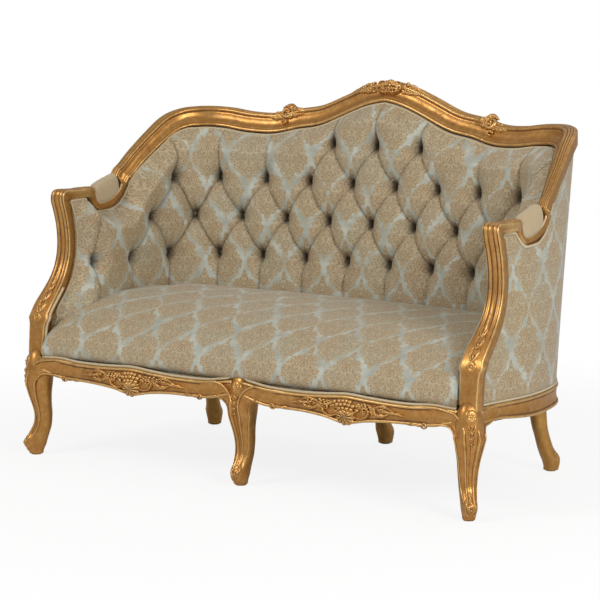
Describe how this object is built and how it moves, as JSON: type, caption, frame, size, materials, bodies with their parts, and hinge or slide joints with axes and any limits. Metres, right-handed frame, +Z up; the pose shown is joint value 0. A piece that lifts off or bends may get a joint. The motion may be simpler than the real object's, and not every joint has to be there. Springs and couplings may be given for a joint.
{
  "type": "cabriole settee",
  "caption": "Gilded show-wood settee with a curved button-tufted back, low padded arms, tight sprung seat and cabriole legs, upholstered in damask.",
  "frame": {"origin": "on the floor, under the middle of the whole piece", "axes": "+X along the length towards the right as seen from the front, +Y towards the back, +Z up"},
  "size_m": [1.5198, 0.7854, 1.048],
  "materials": {
    "gilt_wood": "carved beech with rubbed antique gold leaf",
    "plain_gilt_wood": "plainer pale gold leaf",
    "raw_wood": "unfinished beech",
    "steel": "plain wire and screws",
    "damask": "beige medallion damask on pale blue satin",
    "plain_cloth": "plain beige woven cloth",
    "gimp": "flat braid",
    "hessian": "coarse jute cloth",
    "dust_cloth": "thin black lining"
  },
  "bodies": {
    "root": {"crest_rail": "gilt_wood", "wing_rail_left": "gilt_wood", "wing_rail_right": "gilt_wood", "arm_rail_left": "gilt_wood", "arm_rail_right": "gilt_wood", "arm_stump_left": "gilt_wood", "arm_stump_right": "gilt_wood", "front_rail_left": "gilt_wood", "front_rail_right": "gilt_wood", "side_rail_left": "gilt_wood", "side_rail_right": "gilt_wood", "back_rail": "plain_gilt_wood", "front_leg_left": "gilt_wood", "front_leg_centre": "gilt_wood", "front_leg_right": "gilt_wood", "rear_leg_left": "plain_gilt_wood", "rear_leg_centre": "plain_gilt_wood", "rear_leg_right": "plain_gilt_wood", "crest_cartouche": "gilt_wood", "shoulder_scrolls": "gilt_wood", "rail_carving_left": "gilt_wood", "rail_carving_right": "gilt_wood", "knee_rosettes": "gilt_wood", "stump_rosettes": "gilt_wood", "toe_scrolls": "gilt_wood", "back_post_left": "raw_wood", "back_post_right": "raw_wood", "back_centre_stay": "raw_wood", "seat_brace": "raw_wood", "corner_blocks": "raw_wood", "block_screws": "steel", "leg_dowels": "raw_wood", "stump_dowels": "raw_wood", "seat_springs": "steel", "spring_clips": "steel", "hessian": "hessian", "seat_cushion": "damask", "inside_back": "damask", "inside_arm_left": "damask", "inside_arm_right": "damask", "back_buttons": "damask", "arm_pad_left": "plain_cloth", "arm_pad_right": "plain_cloth", "outside_back": "damask", "outside_arm_left": "damask", "outside_arm_right": "damask", "arm_gimp": "gimp", "seat_gimp": "gimp", "dust_cover": "dust_cloth"}
  },
  "joints": []
}
